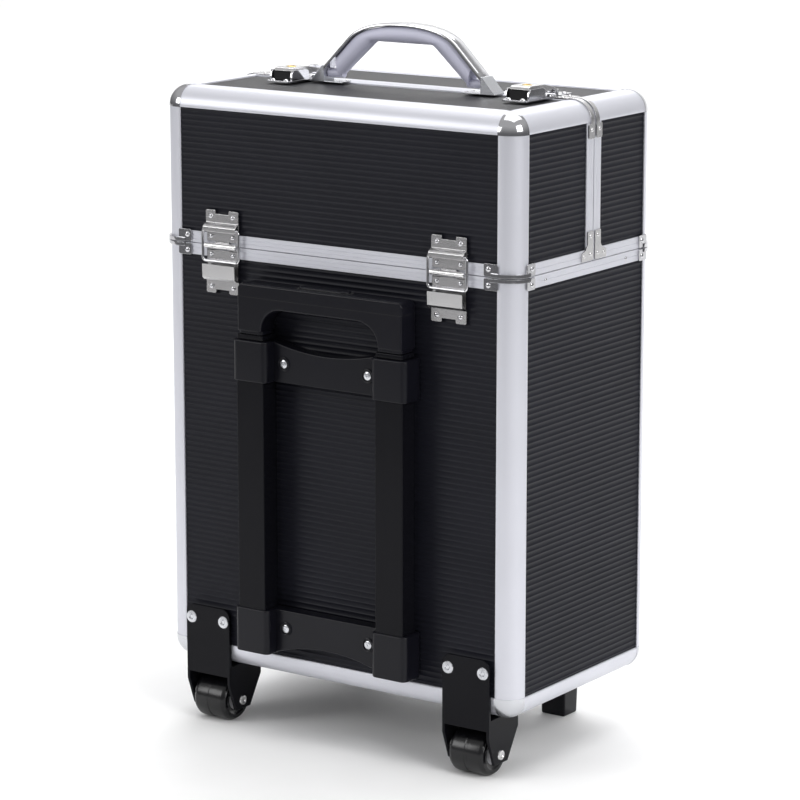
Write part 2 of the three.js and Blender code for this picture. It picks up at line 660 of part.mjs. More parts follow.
function makeTrays() {
  for (const [face, tray] of Object.entries(TRAYS)) {
    const x = [-TRAY_HALF_WIDTH, TRAY_HALF_WIDTH];
    const y = [tray.centre - tray.half, tray.centre + tray.half];
    const z = [TRAY_PIVOT_Z - 27, TRAY_PIVOT_Z + 5];
    const box = block(x, y, z)
      .subtract(block(shrink(x, 2), shrink(y, 2), [z[0] + 2, z[1] + 1]))
      .subtract(rod(STUD_PIN + BORE_PLAY, [x[0] - 1, x[1] + 1], tray.centre, TRAY_PIVOT_Z, 12));
    add(`${face}_tray`, box, TRAY_GREY);
    for (const [side, sign] of Object.entries(SIDES)) {
      add(`${face}_tray_arm_${side}`, trayArm(tray, sign), CHROME);
    }
  }
}

makeBody();
makeLid("rear");
makeLid("front");
makeHinges();
makeTrolley();
makeGrip();
makeUndercarriage();
makeHandle();
makeLatches();
makeTrays();

// The origin is under the middle of the whole object, between the trolley collars and the front stay pockets.
const FRONT_REACH = 109.6;
group.position.y = -(COLLAR_FRONT + FRONT_REACH) / 2;

export default group;
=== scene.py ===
"""The looks of the rolling makeup train case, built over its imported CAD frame."""
import math

import bmesh
import bpy
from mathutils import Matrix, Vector


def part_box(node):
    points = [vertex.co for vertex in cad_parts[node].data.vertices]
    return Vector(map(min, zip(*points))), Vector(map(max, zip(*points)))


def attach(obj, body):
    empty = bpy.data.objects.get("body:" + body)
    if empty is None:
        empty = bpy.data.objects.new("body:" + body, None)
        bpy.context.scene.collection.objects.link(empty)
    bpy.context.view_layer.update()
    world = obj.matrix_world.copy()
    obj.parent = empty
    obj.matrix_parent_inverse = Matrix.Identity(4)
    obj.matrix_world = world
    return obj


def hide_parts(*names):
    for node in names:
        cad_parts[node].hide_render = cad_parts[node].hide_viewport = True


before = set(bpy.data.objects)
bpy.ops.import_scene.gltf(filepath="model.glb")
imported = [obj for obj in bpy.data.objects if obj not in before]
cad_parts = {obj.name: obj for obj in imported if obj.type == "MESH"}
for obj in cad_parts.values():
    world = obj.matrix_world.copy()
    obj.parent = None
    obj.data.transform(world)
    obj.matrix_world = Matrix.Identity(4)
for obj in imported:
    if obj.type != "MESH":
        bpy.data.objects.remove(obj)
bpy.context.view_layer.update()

# Everything is drawn in millimetres from the middle of the case at floor level, and placed by the frame.
MM = 0.001
PANEL_RECESS = 1.2
SEAM_GAP = 0.5
body_low, body_high = (Vector(corner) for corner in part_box("body_frame"))
lid_low, lid_high = (Vector(corner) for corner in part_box("rear_lid_frame"))
rear_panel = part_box("body_panel_rear")[0][1]
front_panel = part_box("body_panel_front")[1][1]
CASE_Y = (rear_panel + front_panel) / 2
HALF_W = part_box("front_lid_panel_right")[1][0] / MM + PANEL_RECESS
HALF_D = (front_panel - rear_panel) / 2 / MM + PANEL_RECESS
BOX_BOTTOM = body_low.z / MM
LID_LINE = (body_high.z + lid_low.z) / 2 / MM
BOX_TOP = lid_high.z / MM
SEAM_Y = (lid_high.y - CASE_Y) / MM + SEAM_GAP

# Edge trims: the round of an edge, the sheet's thickness, and the reach over each face
CORNER_R = 16
TRIM_T = 2
POST_REAR = 18.4
POST_SIDE = 15.1
BOTTOM_RAIL = 18
BOTTOM_UNDER = 20
TOP_RAIL = 16.7
TOP_FLAT = 21

# Flat trims: along the lid line, along the seam between the lids, and the gap at the lid line
RIM = 9.6
SEAM_TRIM = 9.9
JOINT = 0.25

# Ribbed panels: the skin's depth, how far it runs under the trims, and the ribs
PANEL_SKIN = 3.4
PANEL_LAP = 0.3
RIB_PITCH = 4.5
RIB_HEIGHT = 0.3

SIDES = {"left": -1, "right": 1}
FACES = {"rear": -1, "front": 1}
SIGNS = (-1, 1)


# ---------------------------------------------------------------- materials

def noise_field(nodes, links, coords, scale, detail):
    noise = nodes.new("ShaderNodeTexNoise")
    noise.inputs["Scale"].default_value = scale
    noise.inputs["Detail"].default_value = detail
    links.new(coords.outputs["Object"], noise.inputs["Vector"])
    return noise.outputs["Fac"]


def uneven_tone(nodes, links, field, color, spread):
    """The colour, a little darker in some places and lighter in others."""
    tone = nodes.new("ShaderNodeValToRGB")
    dark, light = tone.color_ramp.elements
    dark.position = 0.3
    light.position = 0.7
    dark.color = (*[c * (1 - spread) for c in color], 1)
    light.color = (*[min(1, c * (1 + spread)) for c in color], 1)
    links.new(field, tone.inputs["Fac"])
    return tone.outputs["Color"]


def uneven_gloss(nodes, links, field, roughness, share):
    gloss = nodes.new("ShaderNodeMapRange")
    gloss.inputs["To Min"].default_value = roughness * (1 - share)
    gloss.inputs["To Max"].default_value = roughness * (1 + share)
    links.new(field, gloss.inputs["Value"])
    return gloss.outputs["Result"]


def material(name, color, roughness, metallic=0.0, grain=900, bump=0.15, depth=0.0001, spread=0.12,
             specular=0.5, sheen=0.0):
    """A material with a little unevenness in its tone, gloss and surface."""
    finish = bpy.data.materials.new(name)
    finish.use_nodes = True
    nodes = finish.node_tree.nodes
    links = finish.node_tree.links
    shader = nodes["Principled BSDF"]
    shader.inputs["Metallic"].default_value = metallic
    shader.inputs["Specular IOR Level"].default_value = specular
    shader.inputs["Sheen Weight"].default_value = sheen

    coords = nodes.new("ShaderNodeTexCoord")
    fine = noise_field(nodes, links, coords, grain, 3)
    clouds = noise_field(nodes, links, coords, 14, 2)
    gloss_share = 0.02 if metallic > 0.5 else 0.15
    links.new(uneven_tone(nodes, links, clouds, color, spread), shader.inputs["Base Color"])
    links.new(uneven_gloss(nodes, links, fine, roughness, gloss_share), shader.inputs["Roughness"])

    relief = nodes.new("ShaderNodeBump")
    relief.inputs["Strength"].default_value = bump
    relief.inputs["Distance"].default_value = depth
    links.new(fine, relief.inputs["Height"])
    links.new(relief.outputs["Normal"], shader.inputs["Normal"])
    return finish


ANODISED = material("anodised_aluminium", (0.66, 0.665, 0.72), 0.42, 0.55, grain=700, bump=0.05, spread=0.02)
SATIN_CAP = material("satin_cap", (0.60, 0.61, 0.64), 0.27, 0.9, grain=700, bump=0.015, spread=0.02)
CHROME = material("chrome", (0.56, 0.56, 0.58), 0.12, 1.0, grain=500, bump=0.01, spread=0.02)
NICKEL = material("nickel_plate", (0.66, 0.655, 0.66), 0.24, 1.0, grain=600, bump=0.015, spread=0.02)
BRASS = material("brass", (0.70, 0.48, 0.15), 0.25, 1.0, grain=400, bump=0.1)
RIBBED = material("ribbed_panel", (0.0095, 0.0098, 0.0145), 0.40, grain=1500, bump=0.12, spread=0.1,
                  specular=0.11)
SMOOTH = material("smooth_panel", (0.014, 0.014, 0.017), 0.5, grain=2500, bump=0.3, spread=0.1, specular=0.3)
PLASTIC = material("black_plastic", (0.0050, 0.0050, 0.0080), 0.30, grain=2200, spread=0.1, specular=0.2)
PAINT = material("black_paint", (0.0046, 0.0046, 0.0065), 0.26, grain=1600, bump=0.08, spread=0.1,
                 specular=0.11)
TYRE = material("wheel_rubber", (0.0045, 0.0045, 0.0055), 0.24, bump=0.1, specular=0.4)
HUB = material("wheel_hub", (0.42, 0.42, 0.44), 0.4, grain=1200, bump=0.1)
GRIP = material("grey_grip", (0.66, 0.66, 0.80), 0.42, grain=1200, spread=0.03)
LINING = material("felt_lining", (0.020, 0.020, 0.022), 0.95, grain=2600, bump=0.9, depth=0.0004, sheen=0.5)
TRAY = material("tray_board", (0.03, 0.03, 0.033), 0.6, grain=1400, bump=0.4)
# Painted shade: a near-black matte finish put where there is only shade, in the gap round the grip's button,
# the latch hollows, the key slots, the screw wells and the grip's parting line.
PAINTED_SHADE = material("painted_shade", (0.006, 0.006, 0.007), 0.8, bump=0.2)


# ---------------------------------------------------------------- meshes

def place(x, y, z):
    return Vector((x * MM, y * MM + CASE_Y, z * MM))


def build(name, parts, finish, body, replaced=(), bevel=0.0, angle=35, segments=2):
    """One object from (points, faces) parts, riding on a body, with its hard edges marked by angle."""
    mesh = bpy.data.meshes.new(name)
    bm = bmesh.new()
    for points, faces in parts:
        verts = [bm.verts.new(place(*point)) for point in points]
        for face in faces:
            bm.faces.new([verts[i] for i in face])
    bmesh.ops.remove_doubles(bm, verts=bm.verts, dist=1e-6)
    bmesh.ops.recalc_face_normals(bm, faces=bm.faces)
    for face in bm.faces:
        face.smooth = True
    for edge in bm.edges:
        edge.smooth = len(edge.link_faces) == 2 and edge.calc_face_angle(0) < math.radians(angle)
    bm.to_mesh(mesh)
    bm.free()
    piece = bpy.data.objects.new(name, mesh)
    bpy.context.scene.collection.objects.link(piece)
    mesh.materials.append(finish)
    if bevel:
        soften(piece, bevel, segments, angle)
    if replaced:
        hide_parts(*replaced)
    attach(piece, body)
    return piece


def soften(piece, width, segments=2, angle=35, clamp=True):
    """Rounds an object's hard edges, with shading that keeps its flats flat."""
    rounding = piece.modifiers.new("rounding", "BEVEL")
    rounding.width = width * MM
    rounding.segments = segments
    rounding.limit_method = "ANGLE"
    rounding.angle_limit = math.radians(angle)
    rounding.use_clamp_overlap = clamp
    flats = piece.modifiers.new("flats", "WEIGHTED_NORMAL")
    flats.keep_sharp = False


def dress(node, finish, bevel=0.0, angle=35, segments=2):
    """A CAD node keeps its mesh and gets a finish, and rounded edges where asked."""
    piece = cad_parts[node]
    piece.data.materials.clear()
    piece.data.materials.append(finish)
    if bevel:
        weld = piece.modifiers.new("weld", "WELD")
        weld.merge_threshold = 0.01 * MM
        flatten = piece.modifiers.new("flatten", "DECIMATE")
        flatten.decimate_type = "DISSOLVE"
        flatten.angle_limit = math.radians(1)
        soften(piece, bevel, segments, angle)
    return piece


AXES = {"x": lambda u, v, w: (w, u, v), "y": lambda u, v, w: (u, w, v), "z": lambda u, v, w: (u, v, w)}


def extrusion(outline, axis, start, end):
    """A closed outline in the plane across an axis, drawn out along that axis."""
    at = AXES[axis]
    count = len(outline)
    points = [at(u, v, w) for w in (start, end) for u, v in outline]
    faces = [(i, (i + 1) % count, count + (i + 1) % count, count + i) for i in range(count)]
    faces.append(tuple(range(count)))
    faces.append(tuple(range(count, 2 * count)))
    return points, faces


def box(x, y, z):
    return extrusion([(x[0], y[0]), (x[1], y[0]), (x[1], y[1]), (x[0], y[1])], "z", z[0], z[1])


def arc(centre, radius, start, end, steps=8):
    """Points on an arc, its angles in degrees; a radius may be one number or two."""
    ru, rv = radius if isinstance(radius, tuple) else (radius, radius)
    angles = [math.radians(start + (end - start) * i / steps) for i in range(steps + 1)]
    return [(centre[0] + ru * math.cos(a), centre[1] + rv * math.sin(a)) for a in angles]


def rounded_rect(u, v, radius, steps=5):
    u0, u1 = sorted(u)
    v0, v1 = sorted(v)
    r = radius
    return (arc((u1 - r, v0 + r), r, -90, 0, steps) + arc((u1 - r, v1 - r), r, 0, 90, steps)
            + arc((u0 + r, v1 - r), r, 90, 180, steps) + arc((u0 + r, v0 + r), r, 180, 270, steps))


def turned(profile, centre, axis, steps=32):
    """A solid of revolution: (radius, height) points turned about an axis through centre."""
    at = AXES[axis]
    count = len(profile)
    points = []
    for i in range(steps):
        a = 2 * math.pi * i / steps
        for r, h in profile:
            offset = at(r * math.cos(a), r * math.sin(a), h)
            points.append(tuple(c + o for c, o in zip(centre, offset)))
    faces = []
    for i in range(steps):
        for j in range(count - 1):
            a, b = i * count + j, ((i + 1) % steps) * count + j
            faces.append((a, b, b + 1, a + 1))
    return points, faces


def dome(centre, axis, sign, radius, height):
    """A rivet head standing out along an axis."""
    angles = [math.radians(15 * i) for i in range(6)] + [math.radians(89.9)]
    profile = [(radius, -0.3 * sign)]
    profile += [(radius * math.cos(a), sign * height * math.sin(a)) for a in angles]
    return turned(profile, centre, axis, 20)


def wire_loop(path, radius, sides=12):
    """A round wire along a flat closed loop of points."""
    nodes = [Vector(p) for p in path]
    count = len(nodes)
    normal = (nodes[1] - nodes[0]).cross(nodes[2] - nodes[1]).normalized()
    points, faces = [], []
    for i, node in enumerate(nodes):
        tangent = (nodes[(i + 1) % count] - nodes[i - 1]).normalized()
        across = tangent.cross(normal).normalized()
        a, b = i * sides, ((i + 1) % count) * sides
        for k in range(sides):
            turn = 2 * math.pi * k / sides
            points.append(tuple(node + radius * (math.cos(turn) * across + math.sin(turn) * normal)))
            faces.append((a + k, a + (k + 1) % sides, b + (k + 1) % sides, b + k))
    return points, faces


def bent_plate(path, thickness, outward, x):
    """A plate bent along a path in the Y-Z plane and drawn out across X."""
    count = len(path)
    normals = []
    for i in range(count):
        before, after = path[max(i - 1, 0)], path[min(i + 1, count - 1)]
        du, dv = after[0] - before[0], after[1] - before[1]
        length = math.hypot(du, dv)
        normals.append((dv / length, -du / length))
    if normals[0][0] * outward < 0:
        normals = [(-a, -b) for a, b in normals]
    outer = [(p[0] + thickness * n[0], p[1] + thickness * n[1]) for p, n in zip(path, normals)]
    return extrusion(list(path) + outer[::-1], "x", x[0], x[1])


def mirrored(parts, sign):
    """The same parts on the front face when sign is +1; they are drawn for the rear."""
    if sign < 0:
        return parts
    return [([(x, -y, z) for x, y, z in points], faces) for points, faces in parts]


def shifted(parts, dx):
    return [([(x + dx, y, z) for x, y, z in points], faces) for points, faces in parts]


# ---------------------------------------------------------------- aluminium trims

POST_X = HALF_W - POST_REAR
POST_Y = HALF_D - POST_SIDE
CAP_T = 1.2
BODY_CAP_PROUD = 0.3
LID_CAP_PROUD = 0.4


def corner_trim(flange_u, flange_v):
    """The section of an edge trim, measured inward from the two outer faces."""
    r, t = CORNER_R, TRIM_T
    short = 2 if flange_v < r else 0
    outer = [(flange_u, t), (flange_u, 0.6), (flange_u - 0.3, 0.15), (flange_u - 0.7, 0)]
    outer.append((r + (flange_u - r) * 0.1, 0))
    outer += arc((r, r), r, 270 - short, 180 + short, 14)
    outer += [(0, flange_v - 0.7), (0.15, flange_v - 0.3), (0.6, flange_v), (t, flange_v)]
    return outer + arc((r, r), r - t, 180, 270, 8)


def band(width, grooves=2):
    """The section of a flat trim: (depth, position across), with fine grooves along it."""
    outline = [(TRIM_T, 0), (0.3, 0), (0, 0.3)]
    for i in range(grooves):
        middle = width * (i + 1) / (grooves + 1)
        outline += [(0, middle - 0.35), (0.3, middle - 0.1), (0.3, middle + 0.1), (0, middle + 0.35)]
    return outline + [(0, width - 0.3), (0.3, width), (TRIM_T, width)]


def corner_cap(x_sign, y_sign, top, sizes, proud):
    """A pressed cap over a corner of the case: three rounded faces that meet in an eighth of a ball."""
    steps = 12
    r = CORNER_R + proud
    ends = [size + proud for size in sizes]

    def fit(u, v, w):
        core = Vector((max(u, r), max(v, r), max(w, r)))
        reach = Vector((u, v, w)) - core
        point = core + reach.normalized() * r if reach.length > 1e-9 else Vector((u, v, w))
        x = x_sign * (HALF_W + proud - point.x)
        y = y_sign * (HALF_D + proud - point.y)
        z = BOX_TOP + proud - point.z if top else BOX_BOTTOM - proud + point.z
        return (x, y, z)

    parts = []
    for flat in range(3):
        points, faces = [], []
        a, b = [i for i in range(3) if i != flat]
        for i in range(steps + 1):
            for j in range(steps + 1):
                uvw = [0, 0, 0]
                uvw[a] = ends[a] * i / steps
                uvw[b] = ends[b] * j / steps
                points.append(fit(*uvw))
        row = steps + 1
        for i in range(steps):
            for j in range(steps):
                faces.append((i * row + j, i * row + j + 1, (i + 1) * row + j + 1, (i + 1) * row + j))
        parts.append((points, faces))
    return parts


def solid_shell(piece):
    """Gives a pressed sheet its thickness, inward."""
    shell = piece.modifiers.new("thickness", "SOLIDIFY")
    shell.thickness = CAP_T * MM
    shell.offset = -1


def posts(faces, z0, z1):
    section = corner_trim(POST_REAR, POST_SIDE)
    return [extrusion([(x_sign * (HALF_W - u), y_sign * (HALF_D - v)) for u, v in section], "z", z0, z1)
            for x_sign in SIGNS for y_sign in faces]


def face_band(y_sign, x, z0, z1):
    """A flat trim across the rear or front face."""
    return extrusion([(y_sign * (HALF_D - d), z0 + s) for d, s in band(z1 - z0)], "x", x[0], x[1])


def side_band(x_sign, y, z0, z1):
    return extrusion([(x_sign * (HALF_W - d), z0 + s) for d, s in band(z1 - z0, 1)], "y", y[0], y[1])


def make_body_trim():
    top = LID_LINE - JOINT
    parts = posts(SIGNS, BOX_BOTTOM + BOTTOM_RAIL, top)
    rail = corner_trim(BOTTOM_UNDER, BOTTOM_RAIL)
    for y_sign in SIGNS:
        section = [(y_sign * (HALF_D - u), BOX_BOTTOM + v) for u, v in rail]
        parts.append(extrusion(section, "x", -POST_X, POST_X))
        parts.append(face_band(y_sign, (-POST_X, POST_X), LID_LINE - RIM, top))
    for x_sign in SIGNS:
        section = [(x_sign * (HALF_W - u), BOX_BOTTOM + v) for u, v in rail]
        parts.append(extrusion(section, "y", -POST_Y, POST_Y))
        parts.append(side_band(x_sign, (-POST_Y, POST_Y), LID_LINE - RIM, top))
    build("body_trim", parts, ANODISED, "case_body", ["body_frame"])
    caps = []
    for x_sign in SIGNS:
        for y_sign in SIGNS:
            caps += corner_cap(x_sign, y_sign, False, (POST_REAR, POST_SIDE, BOTTOM_RAIL), BODY_CAP_PROUD)
    solid_shell(build("body_corner_caps", caps, SATIN_CAP, "case_body"))


def make_lid_trim(face):
    y_sign = FACES[face]
    seam = SEAM_Y + y_sign * SEAM_GAP
    flat = [(d, seam + y_sign * s) for d, s in band(SEAM_TRIM)]
    bottom = LID_LINE + JOINT
    top_of_posts = BOX_TOP - TOP_RAIL
    parts = posts((y_sign,), bottom, top_of_posts)
    rail = corner_trim(TOP_FLAT, TOP_RAIL)
    section = [(y_sign * (HALF_D - u), BOX_TOP - v) for u, v in rail]
    parts.append(extrusion(section, "x", -POST_X, POST_X))
    parts.append(face_band(y_sign, (-POST_X, POST_X), bottom, LID_LINE + RIM))
    for x_sign in SIGNS:
        section = [(x_sign * (HALF_W - u), BOX_TOP - v) for u, v in rail]
        parts.append(extrusion(section, "y", y_sign * POST_Y, seam))
        parts.append(side_band(x_sign, (y_sign * POST_Y, seam), bottom, LID_LINE + RIM))
        upright = [(x_sign * (HALF_W - d), y) for d, y in flat]
        parts.append(extrusion(upright, "z", LID_LINE + RIM, top_of_posts))
    parts.append(extrusion([(y, BOX_TOP - d) for d, y in flat], "x", -HALF_W + TOP_FLAT, HALF_W - TOP_FLAT))
    build(f"{face}_lid_trim", parts, ANODISED, f"{face}_lid", [f"{face}_lid_frame"])
    caps = []
    for x_sign in SIGNS:
        caps += corner_cap(x_sign, y_sign, True, (POST_REAR, POST_SIDE, TOP_RAIL), LID_CAP_PROUD)
    solid_shell(build(f"{face}_lid_corner_caps", caps, CHROME, f"{face}_lid"))


# ---------------------------------------------------------------- panels

def rib_line(z0, z1):
    """(height, how far the surface stands out) up a ribbed panel."""
    line = [(z0, 0)]
    count = round((z1 - z0) / RIB_PITCH)
    pitch = (z1 - z0) / count
    for i in range(count):
        middle = z0 + (i + 0.5) * pitch
        for step, lift in ((-0.13, 0), (-0.08, 0.7), (-0.03, 1), (0.03, 1), (0.08, 0.7), (0.13, 0)):
            line.append((middle + step * pitch, lift * RIB_HEIGHT))
    line.append((z1, 0))
    return line


def rib_sheet(node, axis, sign, proud, depth):
    """A sheet with fine ribs, from a little proud of a panel's outer face to some depth behind it."""
    low, high = (Vector(corner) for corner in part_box(node))
    z0 = low.z / MM - PANEL_LAP
    z1 = high.z / MM + PANEL_LAP
    face = (HALF_W if axis == "x" else HALF_D) - PANEL_RECESS
    outer = sign * (face + proud)
    inner = sign * (face - depth)
    outline = [(outer + sign * lift, z) for z, lift in rib_line(z0, z1)] + [(inner, z1), (inner, z0)]
    if axis == "y":
        return extrusion(outline, "x", low.x / MM - PANEL_LAP, high.x / MM + PANEL_LAP)
    return extrusion(outline, "y", (low.y - CASE_Y) / MM - PANEL_LAP, (high.y - CASE_Y) / MM + PANEL_LAP)


def ribbed_panel(name, node, axis, sign, body):
    """A ribbed panel in the place of its flat CAD one."""
    sheet = rib_sheet(node, axis, sign, 0, PANEL_SKIN)
    build(name, [sheet], RIBBED, body, [node], angle=60)


def make_panels():
    for face, y_sign in FACES.items():
        lid = f"{face}_lid"
        ribbed_panel(f"body_ribs_{face}", f"body_panel_{face}", "y", y_sign, "case_body")
        ribbed_panel(f"{lid}_ribs_back", f"{lid}_panel_back", "y", y_sign, lid)
        for side, x_sign in SIDES.items():
            ribbed_panel(f"{lid}_ribs_{side}", f"{lid}_panel_{side}", "x", x_sign, lid)
        dress(f"{lid}_panel_top", SMOOTH)
    for side, x_sign in SIDES.items():
        # These two CAD panels also carry the tray studs, so they stay, under a thin ribbed skin.
        node = f"body_panel_{side}"
        skin = rib_sheet(node, "x", x_sign, 0.15, -0.02)
        build(f"body_ribs_{side}", [skin], RIBBED, "case_body", angle=60)
        dress(node, LINING)
    dress("body_panel_bottom", SMOOTH)


# ---------------------------------------------------------------- hinges with wire stays

HINGE_X = 109
LEAF = 16.2
LEAF_INNER = LEAF - 1
TAB_X = 6.5
TAB_LENGTH = 6
TAB_R = 1.2
PIN_Y = -103.8
KNUCKLE = 2.2
KNUCKLE_MIDDLE = 7
KNUCKLE_OUTER = (7.3, 15.7)
STAY_TOP = LID_LINE + 13.5
STAY_LENGTH = 26
STAY_HALF = 18
STAY_R = 1.2
PLATE_Y = -(HALF_D + 0.3)
PLATE_T = 1.5
BACKING_T = 0.8
RIVET_X = 10.8


def flat_plate(thickness, half, z0, z1):
    return bent_plate([(PLATE_Y, z0), (PLATE_Y, z1)], thickness, -1, (-half, half))


def tabs(z0, z1, thickness):
    """The two rounded ears at the end of a leaf."""
    outlines = [rounded_rect((x_sign * LEAF, x_sign * TAB_X), (z0, z1), TAB_R) for x_sign in SIGNS]
    return [extrusion(outline, "y", PLATE_Y, PLATE_Y - thickness) for outline in outlines]


def hinge_lid_parts():
    """The lid's leaf, bent out over the stay's upper bar, with the middle knuckle."""
    top = LID_LINE + 28.5
    step = STAY_TOP + 4.4
    hood = PLATE_Y - 4.3
    cover = [(PLATE_Y, top - 3), (PLATE_Y, step), (PLATE_Y - 3.9, step - 2.6), (hood, STAY_TOP + 1.6),
             (hood, STAY_TOP - 1.9)]
    parts = [
        bent_plate(cover, PLATE_T, -1, (-LEAF, LEAF)),
        flat_plate(BACKING_T, LEAF, STAY_TOP + 5, STAY_TOP - 2.5),
        flat_plate(PLATE_T, LEAF_INNER, STAY_TOP - 2.5, LID_LINE + 3.4),
    ]
    parts += tabs(top - TAB_LENGTH, top, PLATE_T)
    reach = KNUCKLE_MIDDLE
    barrel = [(0, -reach), (KNUCKLE, -reach), (KNUCKLE, reach), (0, reach)]
    parts.append(turned(barrel, (0, PIN_Y, LID_LINE), "x", 20))
    parts.append(box((-reach, reach), (PLATE_Y, PLATE_Y - PLATE_T), (LID_LINE, LID_LINE + 4)))
    return parts


def hinge_body_parts():
    """The body's leaf, bent out as a pocket for the stay's lower bar, with the two outer knuckles."""
    foot = LID_LINE - 38.6
    pocket = [(PLATE_Y, foot + 3), (PLATE_Y, LID_LINE - 28), (PLATE_Y - 0.8, LID_LINE - 27),
              (PLATE_Y - 4.4, LID_LINE - 26.4), (PLATE_Y - 5.6, LID_LINE - 25.2),
              (PLATE_Y - 6, LID_LINE - 14.7)]
    parts = [
        bent_plate(pocket, 1.2, -1, (-LEAF, LEAF)),
        flat_plate(BACKING_T, LEAF_INNER, LID_LINE - 29, LID_LINE - 13),
        flat_plate(PLATE_T, LEAF_INNER, LID_LINE - 13.2, LID_LINE - 3.4),
    ]
    parts += tabs(foot, foot + TAB_LENGTH, 1.3)
    near, far = KNUCKLE_OUTER
    barrel = [(0, near), (KNUCKLE, near), (KNUCKLE, far - 0.5), (KNUCKLE - 0.5, far), (0, far)]
    for x_sign in SIGNS:
        parts.append(turned([(r, x_sign * x) for r, x in barrel], (0, PIN_Y, LID_LINE), "x", 20))
        web = (x_sign * near, x_sign * 15)
        parts.append(box(web, (PLATE_Y, PLATE_Y - PLATE_T), (LID_LINE - 4, LID_LINE)))
    return parts


def stay_parts():
    loop = rounded_rect((-STAY_HALF, STAY_HALF), (STAY_TOP - STAY_LENGTH, STAY_TOP), 3, 5)
    return [wire_loop([(x, PIN_Y + 0.1, z) for x, z in loop], STAY_R)]


def rivets(heights):
    """Two rivet heads side by side on the plate's face at each height."""
    spots = [(x_sign * RIVET_X, PLATE_Y - PLATE_T, z) for x_sign in SIGNS for z in heights]
    return [dome(spot, "y", -1, 2.2, 1.4) for spot in spots]


def make_hinge(face, side):
    """One hinge and its stay, drawn for the middle of the rear face and set where they belong."""
    pieces = [
        ("hinge_lid_plate", hinge_lid_parts(), NICKEL, f"{face}_lid", "hinge_lid_leaf", 0.25),
        ("hinge_lid_rivets", rivets((LID_LINE + 23.5, LID_LINE + 7.3)), CHROME, f"{face}_lid", None, 0),
        ("hinge_body_plate", hinge_body_parts(), NICKEL, "case_body", "hinge_body_leaf", 0.25),
        ("hinge_body_rivets", rivets((LID_LINE - 7.2, LID_LINE - 33.2)), CHROME, "case_body", None, 0),
        ("stay_wire", stay_parts(), CHROME, f"{face}_stay_{side}", "hinge_stay", 0),
    ]
    for name, parts, finish, body, node, bevel in pieces:
        placed = shifted(mirrored(parts, FACES[face]), SIDES[side] * HINGE_X)
        replaced = [f"{face}_{node}_{side}"] if node else []
        build(f"{face}_{name}_{side}", placed, finish, body, replaced, bevel=bevel)


def make_hinges():
    for face in FACES:
        for side in SIDES:
            make_hinge(face, side)


# ---------------------------------------------------------------- corner and seam clamps

STRAP_END = (147, 83)
END_PLATE_X = (140.5, 153.5)
END_PLATE_Y = (76.5, 88)
END_RIVET = (144.6, 81)
UPPER_STRAP_Z = (LID_LINE + 0.4, LID_LINE + 3.4)
UPPER_PLATE_Z = (LID_LINE + 0.6, LID_LINE + 10.6)
LOWER_STRAP_Z = (LID_LINE - 3.4, LID_LINE - 0.4)
LOWER_PLATE_Z = (LID_LINE - 10, LID_LINE - 0.6)
FOOT_LIFT = 1.1
TAB_LIFT = 1.3
STRAP_DOWN = BOX_TOP - 27
STRAP_IN = HALF_W - 28


def around_corner(x_sign, y_sign, lift, steps=12):
    """A path round an upright edge, from the rear or front face to the side face."""
    r = CORNER_R + lift
    cx, cy = HALF_W - CORNER_R, HALF_D - CORNER_R
    turns = [math.pi / 2 * i / steps for i in range(steps + 1)]
    path = [(STRAP_END[0], HALF_D + lift)]
    path += [(cx + r * math.sin(a), cy + r * math.cos(a)) for a in turns]
    path.append((HALF_W + lift, STRAP_END[1]))
    return [(x_sign * x, y_sign * y) for x, y in path]


def corner_clamp(x_sign, y_sign, strap_z, plate_z):
    """A chrome strap round an upright edge next to the lid line, with a riveted plate at each end."""
    strap = around_corner(x_sign, y_sign, 0.1) + around_corner(x_sign, y_sign, 2.2)[::-1]
    parts = [extrusion(strap, "z", *strap_z)]
    plate = rounded_rect([x_sign * x for x in END_PLATE_X], plate_z, 1.5)
    parts.append(extrusion(plate, "y", y_sign * (HALF_D + 0.1), y_sign * (HALF_D + TAB_LIFT)))
    plate = rounded_rect([y_sign * y for y in END_PLATE_Y], plate_z, 1.5)
    parts.append(extrusion(plate, "x", x_sign * (HALF_W + 0.1), x_sign * (HALF_W + TAB_LIFT)))
    rivet_x, rivet_y = END_RIVET
    rivet_z = sum(plate_z) / 2 + (0.8 if plate_z[0] > LID_LINE else -0.8)
    parts.append(dome((x_sign * rivet_x, y_sign * (HALF_D + TAB_LIFT), rivet_z), "y", y_sign, 2.3, 1.1))
    parts.append(dome((x_sign * (HALF_W + TAB_LIFT), y_sign * rivet_y, rivet_z), "x", x_sign, 2.3, 1.1))
    return parts


def seam_foot(x_sign, y_sign, seam):
    """The plate that ties a seam trim to the lid's rim."""
    foot = LID_LINE + 1
    corner = [(0, 0), (17, 0), (17, 6.5), (11, 8.5), (8.5, 12), (8.5, 23), (0, 23)]
    outline = [(seam + y_sign * y, foot + z) for y, z in corner]
    face = HALF_W + FOOT_LIFT
    spots = ((4.2, 19), (13.5, 4.2), (4.2, 5))
    heads = [dome((x_sign * face, seam + y_sign * y, foot + z), "x", x_sign, 1.6, 0.9) for y, z in spots]
    return [extrusion(outline, "x", x_sign * (HALF_W + 0.2), x_sign * face)] + heads


def seam_strap(x_sign, y_sign, seam):
    """A narrow strap over the lid's top edge beside the seam."""
    cx, cz = HALF_W - CORNER_R, BOX_TOP - CORNER_R
    low = [(HALF_W, STRAP_DOWN)] + arc((cx, cz), CORNER_R, 0, 90, 12) + [(STRAP_IN, BOX_TOP)]
    high = [(HALF_W + FOOT_LIFT, STRAP_DOWN)] + arc((cx, cz), CORNER_R + FOOT_LIFT, 0, 90, 12)
    high.append((STRAP_IN, BOX_TOP + FOOT_LIFT))
    outline = [(x_sign * (x + 0.2 * (x > cx)), z + 0.2) for x, z in low]
    outline += [(x_sign * x, z) for x, z in high[::-1]]
    return extrusion(outline, "y", seam, seam + y_sign * 5)


